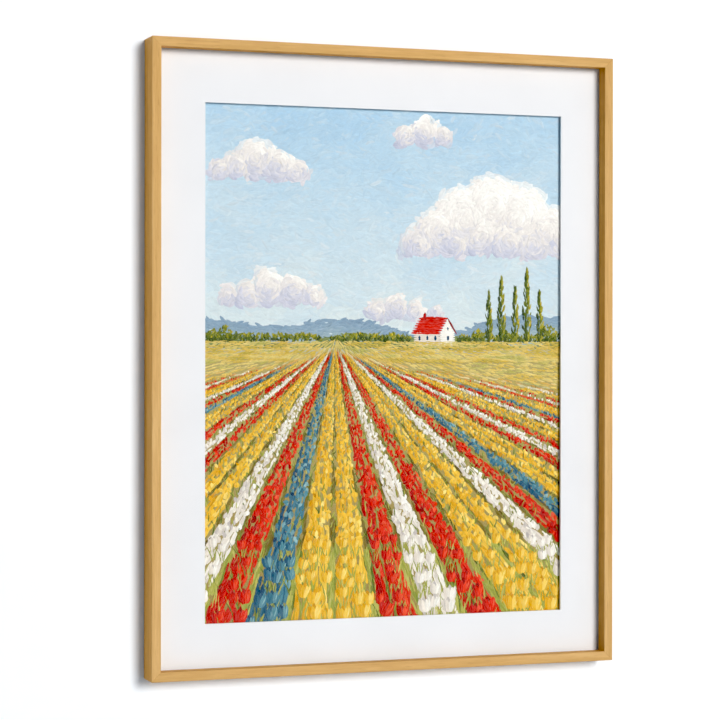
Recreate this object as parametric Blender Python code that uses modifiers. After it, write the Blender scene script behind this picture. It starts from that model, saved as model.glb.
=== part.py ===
"""Framed art print: mitred oak rails around clear glazing, a raised window mat, a print and its backing.

Metres, +Z up. The picture faces -Y and the wall is the plane Y = 0. The origin is on the back face of the
top rail, midway along it.
"""

from math import cos, pi, radians, sin

import bmesh
import bpy
from mathutils import Matrix, Vector

MM = 0.001
GAP = 0.3 * MM

# Frame: the rebate takes a 22 by 28 inch sheet.
REBATE_WIDTH = 558.8 * MM
REBATE_HEIGHT = 711.2 * MM
RAIL_WALL = 6.4 * MM
RAIL_LIP = 4.8 * MM
RAIL_DEPTH = 34.0 * MM
LIP_DEPTH = 16.0 * MM
RAIL_FACE = RAIL_WALL + RAIL_LIP
OUTER_EASE = 1.8 * MM
SIGHT_EASE = 0.6 * MM
EASE_STEPS = 4
CORNER_FACETS = 3
FRAME_WIDTH = REBATE_WIDTH + 2 * RAIL_WALL
FRAME_HEIGHT = REBATE_HEIGHT + 2 * RAIL_WALL
CENTRE_Z = RAIL_WALL / 2 - FRAME_HEIGHT / 2

# Sheets in the rebate, from the front to the back. The riser holds the mat off the print.
SHEET_PLAY = 0.8 * MM
SHEET_WIDTH = REBATE_WIDTH - SHEET_PLAY
SHEET_HEIGHT = REBATE_HEIGHT - SHEET_PLAY
GLAZING_THICKNESS = 2.0 * MM
MAT_THICKNESS = 3.0 * MM
RISER_THICKNESS = 3.0 * MM
PRINT_THICKNESS = 0.6 * MM
BACKING_THICKNESS = 2.5 * MM
GLAZING_FRONT = -RAIL_DEPTH + LIP_DEPTH + GAP
MAT_FRONT = GLAZING_FRONT + GLAZING_THICKNESS + GAP
RISER_FRONT = MAT_FRONT + MAT_THICKNESS + GAP
BACKING_FRONT = RISER_FRONT + RISER_THICKNESS + GAP
BACKING_REAR = BACKING_FRONT + BACKING_THICKNESS
PRINT_FRONT = BACKING_FRONT - GAP - PRINT_THICKNESS

# Window of the mat, a little right of the frame's centre and below it, and the 18 by 24 inch print behind it.
WINDOW_WIDTH = 443.6 * MM
WINDOW_HEIGHT = 592.8 * MM
WINDOW_RIGHT = 3.5 * MM
WINDOW_DROP = 4.5 * MM
WINDOW_X = WINDOW_RIGHT
WINDOW_Z = CENTRE_Z - WINDOW_DROP
PRINT_WIDTH = 457.2 * MM
PRINT_HEIGHT = 609.6 * MM
PRINT_PLAY = 1.0 * MM
CUTTER_OVERRUN = 1.0 * MM

# Retaining tabs, as many on each side as this, from the top clockwise.
SIDES = ("top", "right", "bottom", "left")
TAB_COUNTS = (3, 4, 3, 4)
TAB_WIDTH = 8.0 * MM
TAB_LENGTH = 16.0 * MM
TAB_THICKNESS = 0.6 * MM
TAB_ROUND = 2.5 * MM

# Toothed hangers: a plate whose middle stands off the backing board, with teeth along its lower edge.
HANGER_X = 105.0 * MM
HANGER_Z = RAIL_WALL / -2 - 26.0 * MM
HANGER_HEIGHT = 10.0 * MM
HANGER_THICKNESS = 0.8 * MM
HANGER_RISE = 2.2 * MM
HANGER_HALF = 23.0 * MM
BRIDGE_FOOT = 13.5 * MM
BRIDGE_HALF = 12.0 * MM
TOOTH_PITCH = 2.0 * MM
TOOTH_HEIGHT = 1.4 * MM
TOOTH_COUNT = 10

# Rivets through the hangers' ends and the backing board.
RIVET_X = 18.5 * MM
RIVET_SHANK = 1.5 * MM
RIVET_HEAD = 3.2 * MM
RIVET_HEAD_HEIGHT = 1.3 * MM
RIVET_STEPS = 24
RIVET_HOLE_LENGTH = 12.0 * MM


def clear_scene():
    for obj in list(bpy.data.objects):
        bpy.data.objects.remove(obj)


def new_collection(name, hidden=False):
    collection = bpy.data.collections.new(name)
    collection.hide_render = hidden
    bpy.context.scene.collection.children.link(collection)
    return collection


def new_material(name, colour, roughness, metallic=0.0, transmission=0.0):
    material = bpy.data.materials.new(name)
    material.use_nodes = True
    shader = material.node_tree.nodes["Principled BSDF"]
    shader.inputs["Base Color"].default_value = (*colour, 1.0)
    shader.inputs["Roughness"].default_value = roughness
    shader.inputs["Metallic"].default_value = metallic
    shader.inputs["Transmission Weight"].default_value = transmission
    material.diffuse_color = (*colour, 1.0)
    return material


def add_object(name, data, material, matrix=None):
    obj = bpy.data.objects.new(name, data)
    if material:
        if not data.materials:
            data.materials.append(material)
        parts.objects.link(obj)
    else:
        obj.hide_render = True
        obj.display_type = "WIRE"
        cutters.objects.link(obj)
    obj.matrix_world = matrix or Matrix.Identity(4)
    return obj


def mesh_from(bm, name):
    mesh = bpy.data.meshes.new(name)
    bm.normal_update()
    bm.to_mesh(mesh)
    bm.free()
    return mesh


def box(name, size, centre, material):
    bm = bmesh.new()
    bmesh.ops.create_cube(bm, size=1.0, matrix=Matrix.Diagonal((*size, 1.0)))
    return add_object(name, mesh_from(bm, name), material, Matrix.Translation(centre))


def cylinder(name, radius, length, centre):
    """A cutter along Y."""
    bm = bmesh.new()
    bmesh.ops.create_cone(
        bm, cap_ends=True, segments=RIVET_STEPS, radius1=radius, radius2=radius, depth=length
    )
    place = Matrix.Translation(centre) @ Matrix.Rotation(pi / 2, 4, "X")
    return add_object(name, mesh_from(bm, name), None, place)


def eased(corners):
    """An outline whose right-angled corners (x, y, radius) are rounded where the radius isn't 0."""
    points = []
    for index, (x, y, radius) in enumerate(corners):
        here = Vector((x, y))
        if radius == 0:
            points.append(here)
            continue
        before = (Vector(corners[index - 1][:2]) - here).normalized()
        after = (Vector(corners[(index + 1) % len(corners)][:2]) - here).normalized()
        centre = here + radius * (before + after)
        for step in range(EASE_STEPS + 1):
            turn = step / EASE_STEPS * pi / 2
            points.append(centre - radius * (cos(turn) * after + sin(turn) * before))
    return points


def extruded(name, outline, thickness):
    """A mesh of a flat outline, extruded by thickness, centred on its own Z = 0."""
    curve = bpy.data.curves.new(name, "CURVE")
    curve.dimensions = "2D"
    curve.fill_mode = "BOTH"
    curve.extrude = thickness / 2
    spline = curve.splines.new("POLY")
    spline.points.add(len(outline) - 1)
    for point, (x, y) in zip(spline.points, outline):
        point.co = (x, y, 0.0, 1.0)
    spline.use_cyclic_u = True
    guide = bpy.data.objects.new(name, curve)
    cutters.objects.link(guide)
    bpy.context.view_layer.update()
    mesh = bpy.data.meshes.new_from_object(guide.evaluated_get(bpy.context.evaluated_depsgraph_get()))
    bpy.data.objects.remove(guide)
    bpy.data.curves.remove(curve)
    bm = bmesh.new()
    bm.from_mesh(mesh)
    bpy.data.meshes.remove(mesh)
    bmesh.ops.remove_doubles(bm, verts=bm.verts, dist=0.001 * MM)
    bmesh.ops.recalc_face_normals(bm, faces=bm.faces)
    return mesh_from(bm, name)


def smooth(mesh, angle=30):
    mesh.shade_smooth()
    mesh.set_sharp_from_angle(angle=radians(angle))


def cut(obj, cutter):
    modifier = obj.modifiers.new("cut_" + cutter.name, "BOOLEAN")
    modifier.operation = "DIFFERENCE"
    modifier.solver = "EXACT"
    modifier.object = cutter


def side_matrix(side):
    """Turns what is made for the top of the frame to another side, about the frame's centre."""
    quarter = SIDES.index(side) * pi / 2
    return Matrix.Translation((0, 0, CENTRE_Z)) @ Matrix.Rotation(quarter, 4, "Y")


def side_spans(side):
    """(length along the side, distance from the frame's centre to its outer face)."""
    if side in ("top", "bottom"):
        return FRAME_WIDTH, FRAME_HEIGHT / 2
    return FRAME_HEIGHT, FRAME_WIDTH / 2


def trim(bm, point, normal):
    """Cuts off what lies past the plane and closes the cut."""
    found = bmesh.ops.bisect_plane(
        bm, geom=bm.verts[:] + bm.edges[:] + bm.faces[:], plane_co=point, plane_no=normal, clear_outer=True
    )
    edges = [item for item in found["geom_cut"] if isinstance(item, bmesh.types.BMEdge)]
    bmesh.ops.holes_fill(bm, edges=edges, sides=0)


def rail_section():
    """Section of a rail: X from the outer face inwards, Y from the front back."""
    return eased([
        (0, 0, OUTER_EASE),
        (RAIL_FACE, 0, SIGHT_EASE),
        (RAIL_FACE, LIP_DEPTH, 0),
        (RAIL_WALL, LIP_DEPTH, 0),
        (RAIL_WALL, RAIL_DEPTH, 0),
        (0, RAIL_DEPTH, OUTER_EASE),
    ])


def rail(side):
    """A rail along its own Z, mitred at both ends, its outer corners eased like its long edges."""
    length, outer = side_spans(side)
    name = "rail_" + side
    bm = bmesh.new()
    bm.from_mesh(extruded(name, rail_section(), length))
    mitre = length / 2 - GAP / 2 ** 0.5
    round_centre = length / 2 - OUTER_EASE
    for end in (-1, 1):
        trim(bm, (0, 0, end * mitre), Vector((1, 0, end)).normalized())
        for facet in range(CORNER_FACETS):
            turn = (facet + 0.5) / CORNER_FACETS * pi / 4
            facing = Vector((-cos(turn), 0, end * sin(turn)))
            trim(bm, Vector((OUTER_EASE, 0, end * round_centre)) + OUTER_EASE * facing, facing)
    mesh = mesh_from(bm, name)
    smooth(mesh)
    lay = Matrix(((0, 0, 1, 0), (0, 1, 0, -RAIL_DEPTH), (-1, 0, 0, outer), (0, 0, 0, 1)))
    add_object(name, mesh, oak, side_matrix(side) @ lay)


def sheet(name, width, height, front, thickness, material, x=0.0, z=CENTRE_Z):
    return box(name, (width, thickness, height), (x, front + thickness / 2, z), material)


def opened_sheet(name, front, thickness, material, width, height):
    """A sheet with a square-cut opening around the picture."""
    ring = sheet(name, SHEET_WIDTH, SHEET_HEIGHT, front, thickness, material)
    depth = thickness + 2 * CUTTER_OVERRUN
    middle = (WINDOW_X, front + thickness / 2, WINDOW_Z)
    cut(ring, box(name + "_opening", (width, depth, height), middle, None))


def sheets():
    """The sheets in the rebate. Returns the backing board, which the rivets go through."""
    sheet("glazing_sheet", SHEET_WIDTH, SHEET_HEIGHT, GLAZING_FRONT, GLAZING_THICKNESS, acrylic)
    opened_sheet("mat_board", MAT_FRONT, MAT_THICKNESS, white_board, WINDOW_WIDTH, WINDOW_HEIGHT)
    opened_sheet(
        "mat_riser", RISER_FRONT, RISER_THICKNESS, foam_board, PRINT_WIDTH + 2 * PRINT_PLAY,
        PRINT_HEIGHT + 2 * PRINT_PLAY,
    )
    sheet(
        "art_print", PRINT_WIDTH, PRINT_HEIGHT, PRINT_FRONT, PRINT_THICKNESS, printed_paper, WINDOW_X, WINDOW_Z
    )
    return sheet(
        "backing_board", SHEET_WIDTH, SHEET_HEIGHT, BACKING_FRONT, BACKING_THICKNESS, fibreboard
    )


def tabs(side, count):
    """Tabs along one side, each with its square end at the rail and its round end over the board."""
    length, outer = side_spans(side)
    start = RAIL_WALL + GAP
    outline = eased([
        (-TAB_WIDTH / 2, 0, 0),
        (TAB_WIDTH / 2, 0, 0),
        (TAB_WIDTH / 2, TAB_LENGTH, TAB_ROUND),
        (-TAB_WIDTH / 2, TAB_LENGTH, TAB_ROUND),
    ])
    mesh = extruded("tab", outline, TAB_THICKNESS)
    smooth(mesh)
    for number in range(count):
        along = (number - (count - 1) / 2) * length / count
        seat = Vector((along, BACKING_REAR + GAP + TAB_THICKNESS / 2, outer - start))
        lay = Matrix.Translation(seat) @ Matrix.Rotation(-pi / 2, 4, "X")
        add_object(f"tab_{side}_{number + 1}", mesh, steel, side_matrix(side) @ lay)


def hanger_outline():
    """The plate seen from above: flat ends, and a middle that stands off the board."""
    slope = BRIDGE_FOOT - BRIDGE_HALF
    lean = (HANGER_RISE ** 2 + slope ** 2) ** 0.5
    inset = HANGER_THICKNESS * (lean - slope) / HANGER_RISE
    half = [
        (BRIDGE_HALF, HANGER_RISE),
        (BRIDGE_FOOT, 0),
        (HANGER_HALF, 0),
        (HANGER_HALF, HANGER_THICKNESS),
        (BRIDGE_FOOT + inset, HANGER_THICKNESS),
        (BRIDGE_HALF + inset, HANGER_RISE + HANGER_THICKNESS),
    ]
    return half + [(-x, y) for x, y in reversed(half)]


def tooth_cutter(x):
    """A comb of triangles that cuts the lower edge of the standing-off middle."""
    first = -TOOTH_COUNT * TOOTH_PITCH / 2
    points = [(-first, -CUTTER_OVERRUN), (first, -CUTTER_OVERRUN)]
    for number in range(TOOTH_COUNT):
        left = first + number * TOOTH_PITCH
        points += [(left, 0), (left + TOOTH_PITCH / 2, TOOTH_HEIGHT)]
    points.append((-first, 0))
    mesh = extruded("teeth", points, HANGER_THICKNESS + 2 * CUTTER_OVERRUN)
    seat = (x, BACKING_REAR + GAP + HANGER_RISE + HANGER_THICKNESS / 2, HANGER_Z - HANGER_HEIGHT / 2)
    return add_object("teeth", mesh, None, Matrix.Translation(seat) @ Matrix.Rotation(pi / 2, 4, "X"))


def rivet(name, x):
    """A turned rivet: a low dome over a shank that ends at the front of the backing board."""
    head_seat = HANGER_THICKNESS + GAP
    shank_end = -BACKING_THICKNESS - GAP
    profile = [
        (RIVET_HEAD * sin(turn), head_seat + RIVET_HEAD_HEIGHT * cos(turn))
        for turn in (pi / 2 * step / EASE_STEPS for step in range(EASE_STEPS + 1))
    ]
    profile += [(RIVET_SHANK, head_seat), (RIVET_SHANK, shank_end), (0, shank_end)]
    bm = bmesh.new()
    points = [bm.verts.new((radius, 0, height)) for radius, height in profile]
    for start, end in zip(points, points[1:]):
        bm.edges.new((start, end))
    place = Matrix.Translation((x, BACKING_REAR + GAP, HANGER_Z)) @ Matrix.Rotation(-pi / 2, 4, "X")
    obj = add_object(name, mesh_from(bm, name), steel, place)
    turned = obj.modifiers.new("turn", "SCREW")
    turned.steps = RIVET_STEPS
    turned.render_steps = RIVET_STEPS
    turned.use_merge_vertices = True
    turned.merge_threshold = 0.001 * MM


def hanger(side, x, board):
    """A toothed plate with a rivet through each end, and the rivets' holes in it and in the board."""
    mesh = extruded("hanger_" + side, hanger_outline(), HANGER_HEIGHT)
    plate = add_object(
        "hanger_" + side, mesh, steel, Matrix.Translation((x, BACKING_REAR + GAP, HANGER_Z))
    )
    cut(plate, tooth_cutter(x))
    for number, offset in enumerate((-RIVET_X, RIVET_X), 1):
        seat = (x + offset, BACKING_REAR, HANGER_Z)
        hole = cylinder("rivet_hole", RIVET_SHANK + GAP, RIVET_HOLE_LENGTH, seat)
        cut(plate, hole)
        cut(board, hole)
        rivet(f"rivet_{side}_{number}", x + offset)


clear_scene()
parts = new_collection("framed_print")
cutters = new_collection("cutters", hidden=True)

oak = new_material("oak", (0.62, 0.39, 0.17), 0.5)
acrylic = new_material("acrylic", (0.95, 0.97, 0.98), 0.05, transmission=1.0)
white_board = new_material("white_board", (0.88, 0.88, 0.87), 0.85)
printed_paper = new_material("printed_paper", (0.72, 0.55, 0.2), 0.7)
foam_board = new_material("foam_board", (0.85, 0.85, 0.84), 0.8)
fibreboard = new_material("fibreboard", (0.33, 0.2, 0.11), 0.75)
steel = new_material("steel", (0.55, 0.55, 0.56), 0.35, metallic=1.0)

for side_name, tab_count in zip(SIDES, TAB_COUNTS):
    rail(side_name)
    tabs(side_name, tab_count)
backing = sheets()
hanger("left", -HANGER_X, backing)
hanger("right", HANGER_X, backing)
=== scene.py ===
"""Looks of the framed art print: its oak, mat, glazing, painted picture and back, and the studio."""

from math import copysign, cos, pi, radians, sin, tau
from typing import NamedTuple

import bmesh
import bpy
import numpy as np
from mathutils import Euler, Matrix, Vector, noise


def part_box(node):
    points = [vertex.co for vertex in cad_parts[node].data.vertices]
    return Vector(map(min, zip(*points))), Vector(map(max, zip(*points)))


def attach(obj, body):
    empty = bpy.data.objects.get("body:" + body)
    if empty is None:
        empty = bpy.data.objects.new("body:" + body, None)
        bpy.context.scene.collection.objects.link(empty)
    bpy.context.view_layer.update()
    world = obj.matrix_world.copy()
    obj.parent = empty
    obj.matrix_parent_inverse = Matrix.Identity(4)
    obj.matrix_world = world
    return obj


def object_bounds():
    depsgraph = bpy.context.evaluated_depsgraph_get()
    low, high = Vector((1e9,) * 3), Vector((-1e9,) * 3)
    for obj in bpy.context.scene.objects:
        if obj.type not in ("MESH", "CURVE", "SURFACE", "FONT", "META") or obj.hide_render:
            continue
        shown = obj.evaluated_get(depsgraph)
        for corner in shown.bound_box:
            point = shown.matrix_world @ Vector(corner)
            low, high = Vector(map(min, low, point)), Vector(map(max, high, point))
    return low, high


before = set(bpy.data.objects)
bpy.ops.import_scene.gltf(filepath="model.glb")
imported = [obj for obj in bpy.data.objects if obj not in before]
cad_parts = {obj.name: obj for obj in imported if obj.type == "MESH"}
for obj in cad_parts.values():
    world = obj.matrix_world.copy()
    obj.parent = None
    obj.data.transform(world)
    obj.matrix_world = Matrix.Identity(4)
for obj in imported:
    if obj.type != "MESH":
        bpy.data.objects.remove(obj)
CAD_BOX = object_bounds()

MM = 0.001

# What the frame measures, read from its nodes.
OUTER_LOW, OUTER_HIGH = Vector(CAD_BOX[0]), Vector(CAD_BOX[1])
CENTRE = (OUTER_LOW + OUTER_HIGH) / 2
FRAME_HEIGHT = OUTER_HIGH.z - OUTER_LOW.z
FRONT_Y = OUTER_LOW.y

# Camera: its place is in frame heights from the middle of the frame's front.
CAMERA_PLACE = Vector((-1.2849, -3.4041, 0.0066))
CAMERA_YAW = radians(19.9)
CAMERA_PITCH = radians(-0.12)
CAMERA_ROLL = radians(0.07)
CAMERA_LENS = 113.5
CAMERA_SENSOR = 36.0

# Stage: a wall just behind the frame, open where the frame's back shows, and a floor well below it.
STAGE_REACH = 30.0
WALL_Y = OUTER_HIGH.y + 0.5 * MM
WALL_HOLE_INSET = 2.5 * MM
FLOOR_Z = OUTER_LOW.z - 1.1
WALL_COLOUR = (0.93, 0.965, 0.99)
FLOOR_COLOUR = (0.55, 0.55, 0.55)

# To the camera, wall and floor fade to the backdrop's tone between these distances from the part's
# origin, and the floor has a share of that tone near it too.
BACKDROP_COLOUR = (0.93, 0.93, 0.925)
FADE_NEAR, FADE_FAR = 2.0, 7.0
FLOOR_GLOW = 0.85

# Light: a large soft key from the right, a little above, a fill for the back, and pale light all round.
KEY_DISTANCE = 10.0
KEY_SIDE = radians(15)
KEY_RISE = radians(14)
KEY_SIZE = 4.0
KEY_POWER = 915.0
KEY_COLOUR = (1.0, 0.982, 0.962)
BACK_PLACE = Vector((0.9, 2.9, 0.7))
BACK_SIZE = 5.0
BACK_POWER = 105.0
BACK_COLOUR = (1.0, 1.0, 1.0)
WORLD_COLOUR = (0.62, 0.86, 1.2)
WORLD_STRENGTH = 0.19

# Tones up to this level turn black, for the deep shadows of the photo.
BLACK_LEVEL = 0.035

# The rails' mitres stand 0.3 mm apart in the frame, and a glue line nearly fills that. A mitred end
# faces sideways and inwards by more than MITRE_FACING.
GLUE_LINE = 0.28 * MM
GLUE_PLAY = 0.01 * MM
MITRE_FACING = 0.7

# The picture: x and z in millimetres from the lower left corner of the mat's window. Its strokes cover
# the painted range, which is a little larger, and never reach past PICTURE_PAD.
WINDOW_WIDTH, WINDOW_HEIGHT = 443.6, 592.8
PICTURE_PAD = 5.0
PAD_INSET = 0.5
PAINTED_LEFT, PAINTED_RIGHT = -4.0, 447.0
PAINTED_FOOT, PAINTED_TOP = -4.0, 597.0

# Relief of the paint in millimetres, one height to a cell. A stroke's edges sink into what is under it.
RELIEF_CELL = 1.0
RELIEF_FOOT, RELIEF_TOP = 0.01, 2.2
EDGE_SINK = 0.05

# Streaks: each stroke reads them this far along from the last one's, and aside within the wrap.
STREAK_STEP, STREAK_WRAP = 37.0, 61

PAINT_SEED = 20
RIPPLE_SPACING = 7.3

# Layout: the rows of flowers meet on the horizon. A row's breadth is ROW_PITCH times its distance below
# the horizon, and a path takes the share past PATH_START. Rows that look narrower than FAR_BREADTH
# blend, and at HAIR_BREADTH they are one field.
HORIZON = 322.0
ROWS_MEET_X = 158.0
ROW_PITCH = 0.17
PATH_START = 0.86
FAR_BREADTH, HAIR_BREADTH = 3.2, 1.2
CLOUDS_FOOT, CLOUDS_TOP = 348.0, 588.0
HOUSE_LEFT, HOUSE_CORNER, HOUSE_RIGHT = 256.0, 290.0, 308.0
HOUSE_FOOT, HOUSE_EAVES, HOUSE_RIDGE = HORIZON - 4, HORIZON + 11, HORIZON + 27
HOUSE_MARGIN = 5.0

# Share of the small dabs that are leaves, on the paths and in the rows.
PATH_LEAVES, ROW_LEAVES = 0.75, 0.2


def print_corner():
    """Lower left corner of the mat's window, on the face of the print."""
    low, high = (Vector(corner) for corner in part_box("art_print"))
    middle = (low + high) / 2
    return Vector((middle.x - WINDOW_WIDTH * MM / 2, low.y, middle.z - WINDOW_HEIGHT * MM / 2))


PICTURE_LOW = print_corner()


def linear(red, green, blue):
    """The linear colour of an sRGB one, each channel 0 to 255."""
    def one(value):
        value /= 255
        return value / 12.92 if value <= 0.04045 else ((value + 0.055) / 1.055) ** 2.4
    return one(red), one(green), one(blue)


def add_object(name, data):
    obj = bpy.data.objects.new(name, data)
    bpy.context.scene.collection.objects.link(obj)
    return obj


class Nodes:
    """Short names for building a material's node tree."""

    def __init__(self, name):
        self.material = bpy.data.materials.new(name)
        self.material.use_nodes = True
        self.tree = self.material.node_tree
        self.tree.nodes.clear()
        self.output = self.add("ShaderNodeOutputMaterial")

    def add(self, kind, **values):
        """A node of this kind. Each value goes to the property or the input socket of its name."""
        node = self.tree.nodes.new(kind)
        for key, value in values.items():
            if hasattr(node, key):
                setattr(node, key, value)
        for key, value in values.items():
            if not hasattr(node, key):
                self.feed(self.socket(node, key), value)
        return node

    def socket(self, node, key):
        name = key.replace("_", " ")
        for socket in node.inputs:
            if socket.name.lower() == name.lower() and socket.enabled:
                return socket
        raise KeyError(f"{node.bl_idname} has no input {name}")

    def feed(self, socket, value):
        if isinstance(value, bpy.types.NodeSocket):
            self.tree.links.new(value, socket)
        elif isinstance(value, (tuple, list)) and socket.type == "RGBA" and len(value) == 3:
            socket.default_value = (*value, 1.0)
        else:
            socket.default_value = value

    def surface(self, shader):
        self.tree.links.new(shader, self.output.inputs["Surface"])
        return self.material

    def principled(self, **values):
        return self.add("ShaderNodeBsdfPrincipled", **values).outputs[0]

    def coordinates(self):
        return self.add("ShaderNodeTexCoord").outputs["Object"]

    def stroke_coordinates(self):
        return self.add("ShaderNodeUVMap", uv_map="stroke").outputs[0]

    def scaled(self, vector, scale, offset=(0, 0, 0)):
        return self.add("ShaderNodeMapping", Vector=vector, Scale=scale, Location=offset).outputs[0]

    def noise(self, vector, scale, detail=2.0, roughness=0.5, distortion=0.0):
        node = self.add("ShaderNodeTexNoise", Vector=vector, Scale=scale, Detail=detail)
        node.inputs["Roughness"].default_value = roughness
        node.inputs["Distortion"].default_value = distortion
        return node.outputs[0]

    def wave(self, vector, scale, direction, distortion=0.0):
        node = self.add("ShaderNodeTexWave", Vector=vector, Scale=scale, Distortion=distortion)
        node.bands_direction = direction
        return node.outputs["Fac"]

    def maths(self, operation, a, b=0.0):
        node = self.tree.nodes.new("ShaderNodeMath")
        node.operation = operation
        self.feed(node.inputs[0], a)
        self.feed(node.inputs[1], b)
        return node.outputs[0]

    def ranged(self, value, low, high, to_low=0.0, to_high=1.0):
        """The value, with its range from low to high stretched over another and cut off at its ends."""
        node = self.tree.nodes.new("ShaderNodeMapRange")
        for index, given in enumerate((value, low, high, to_low, to_high)):
            self.feed(node.inputs[index], given)
        return node.outputs[0]

    def ramp(self, value, *stops):
        """A colour ramp through (place, colour) stops."""
        node = self.tree.nodes.new("ShaderNodeValToRGB")
        self.feed(node.inputs[0], value)
        elements = node.color_ramp.elements
        while len(elements) < len(stops):
            elements.new(0.5)
        for element, (place, colour) in zip(elements, stops):
            element.position = place
            element.color = (*colour, 1.0)
        return node.outputs[0]

    def blended(self, share, a, b, mode="MIX"):
        """The colour a with a share of b. Inputs 6 and 7 and output 2 are the node's colour sockets."""
        node = self.tree.nodes.new("ShaderNodeMix")
        node.data_type = "RGBA"
        node.blend_type = mode
        self.feed(node.inputs[0], share)
        self.feed(node.inputs[6], a)
        self.feed(node.inputs[7], b)
        return node.outputs[2]

    def mixed_shader(self, share, a, b):
        node = self.tree.nodes.new("ShaderNodeMixShader")
        for index, given in enumerate((share, a, b)):
            self.feed(node.inputs[index], given)
        return node.outputs[0]

    def bump(self, height, strength, distance):
        node = self.add("ShaderNodeBump", Height=height, Strength=strength, Distance=distance)
        return node.outputs[0]


OAK_TONES = ((0.28, linear(201, 160, 102)), (0.5, linear(215, 175, 118)), (0.72, linear(224, 186, 130)))
OAK_DRIFT = linear(219, 174, 114)
OAK_FIBRE = linear(182, 138, 84)
OAK_PORE = linear(158, 114, 68)
# Painted shade: the sides of the rails are coloured darker and more saturated than their faces.
OAK_SIDE_SHADE = (1.075, 0.915, 0.6)
# The grain is drawn out along a rail, and shifted from one rail to the next.
GRAIN_SQUEEZE = 0.045
GRAIN_SHIFT = (0.37, 0.11, 0.53)


def oak(name, along, seed, level):
    """Pale oak at a given level of tone, its grain along X (0) or Z (2) and shifted by its seed."""
    n = Nodes(name)
    stretch = [1.0, 1.0, 1.0]
    stretch[along] = GRAIN_SQUEEZE
    place = n.scaled(n.coordinates(), stretch, [seed * shift for shift in GRAIN_SHIFT])
    rings = n.noise(place, 75.0, detail=3.0, roughness=0.55, distortion=0.4)
    fibres = n.noise(place, 520.0, detail=4.0, roughness=0.65)
    pores = n.noise(n.scaled(place, (1, 1, 1), (0.4, 0.2, 0.7)), 1400.0, roughness=0.6)
    drift = n.noise(n.coordinates(), 9.0)
    warm = n.blended(n.ranged(drift, 0.35, 0.65, 0.0, 0.35), n.ramp(rings, *OAK_TONES), OAK_DRIFT)
    fine = n.blended(n.ranged(fibres, 0.42, 0.62, 0.28, 0.0), warm, OAK_FIBRE)
    pored = n.blended(n.ranged(pores, 0.30, 0.40, 0.3, 0.0), fine, OAK_PORE)
    relief = n.maths("ADD", n.maths("MULTIPLY", fibres, 0.6), n.ranged(pores, 0.3, 0.4, -0.4, 0.0))
    return n.surface(n.principled(
        Base_Color=n.blended(1.0, pored, side_shade_factor(n, level), "MULTIPLY"),
        Roughness=n.ranged(fibres, 0.3, 0.7, 0.58, 0.46),
        Specular_IOR_Level=0.1,
        Normal=n.bump(relief, 0.25, 0.15 * MM),
    ))


def side_shade_factor(n, level):
    """Factor on a rail's colour: its level on the front and back, and on the sides painted shade,
    darker and more saturated.
    """
    normal = n.add("ShaderNodeNewGeometry").outputs["True Normal"]
    facing = n.maths("ABSOLUTE", n.add("ShaderNodeSeparateXYZ", Vector=normal).outputs["Y"])
    # Painted shade on the sides.
    shaded_side = [level * channel for channel in OAK_SIDE_SHADE]
    return n.blended(n.ranged(facing, 0.2, 0.8, 1.0, 0.0), (level, level, level), shaded_side)


def glue():
    n = Nodes("mitre_glue")
    dust = n.noise(n.coordinates(), 900.0, detail=3.0, roughness=0.6)
    return n.surface(n.principled(
        Base_Color=n.ramp(dust, (0.35, linear(168, 124, 70)), (0.65, linear(204, 160, 100))),
        Roughness=0.7,
        Specular_IOR_Level=0.1,
        Normal=n.bump(dust, 0.2, 0.05 * MM),
    ))


def mat_board():
    n = Nodes("mat_board")
    place = n.coordinates()
    fibres = n.noise(place, 900.0, detail=4.0, roughness=0.6)
    clouds = n.noise(place, 14.0)
    white = n.ramp(clouds, (0.3, linear(236, 236, 236)), (0.7, linear(239, 239, 239)))
    return n.surface(n.principled(
        Base_Color=n.blended(n.ranged(fibres, 0.35, 0.65, 0.05, 0.0), white, linear(214, 213, 210)),
        Roughness=0.9,
        Specular_IOR_Level=0.25,
        Normal=n.bump(fibres, 0.12, 0.1 * MM),
    ))


def glazing():
    """Clear sheet: what is behind it shows, under a faint reflection on its outer side."""
    n = Nodes("glazing")
    smudge = n.noise(n.coordinates(), 22.0, detail=3.0, roughness=0.6)
    clear = n.add("ShaderNodeBsdfTransparent", Color=(0.99, 0.99, 0.99)).outputs[0]
    gloss = n.add("ShaderNodeBsdfGlossy", Roughness=n.ranged(smudge, 0.3, 0.7, 0.02, 0.05)).outputs[0]
    outside = n.maths("SUBTRACT", 1.0, n.add("ShaderNodeNewGeometry").outputs["Backfacing"])
    share = n.maths("MULTIPLY", n.add("ShaderNodeFresnel", IOR=1.33).outputs[0], outside)
    return n.surface(n.mixed_shader(share, clear, gloss))


def fibreboard():
    n = Nodes("fibreboard")
    place = n.coordinates()
    specks = n.noise(place, 420.0, detail=4.0, roughness=0.7)
    strands = n.noise(n.scaled(place, (1, 1, 0.2)), 260.0, detail=3.0, roughness=0.6, distortion=1.2)
    clouds = n.noise(place, 12.0, detail=3.0)
    base = n.ramp(clouds, (0.3, linear(134, 96, 62)), (0.7, linear(152, 112, 74)))
    light = n.blended(n.ranged(strands, 0.52, 0.68, 0.0, 0.5), base, linear(178, 138, 96))
    dark = n.blended(n.ranged(specks, 0.3, 0.42, 0.5, 0.0), light, linear(86, 58, 36))
    return n.surface(n.principled(
        Base_Color=dark,
        Roughness=n.ranged(specks, 0.3, 0.7, 0.8, 0.6),
        Normal=n.bump(strands, 0.2, 0.2 * MM),
    ))


def foam_board():
    n = Nodes("foam_board")
    cells = n.noise(n.coordinates(), 800.0, detail=3.0, roughness=0.6)
    return n.surface(n.principled(
        Base_Color=n.ramp(cells, (0.3, linear(222, 222, 220)), (0.7, linear(242, 242, 240))),
        Roughness=0.85,
        Normal=n.bump(cells, 0.3, 0.2 * MM),
    ))


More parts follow.
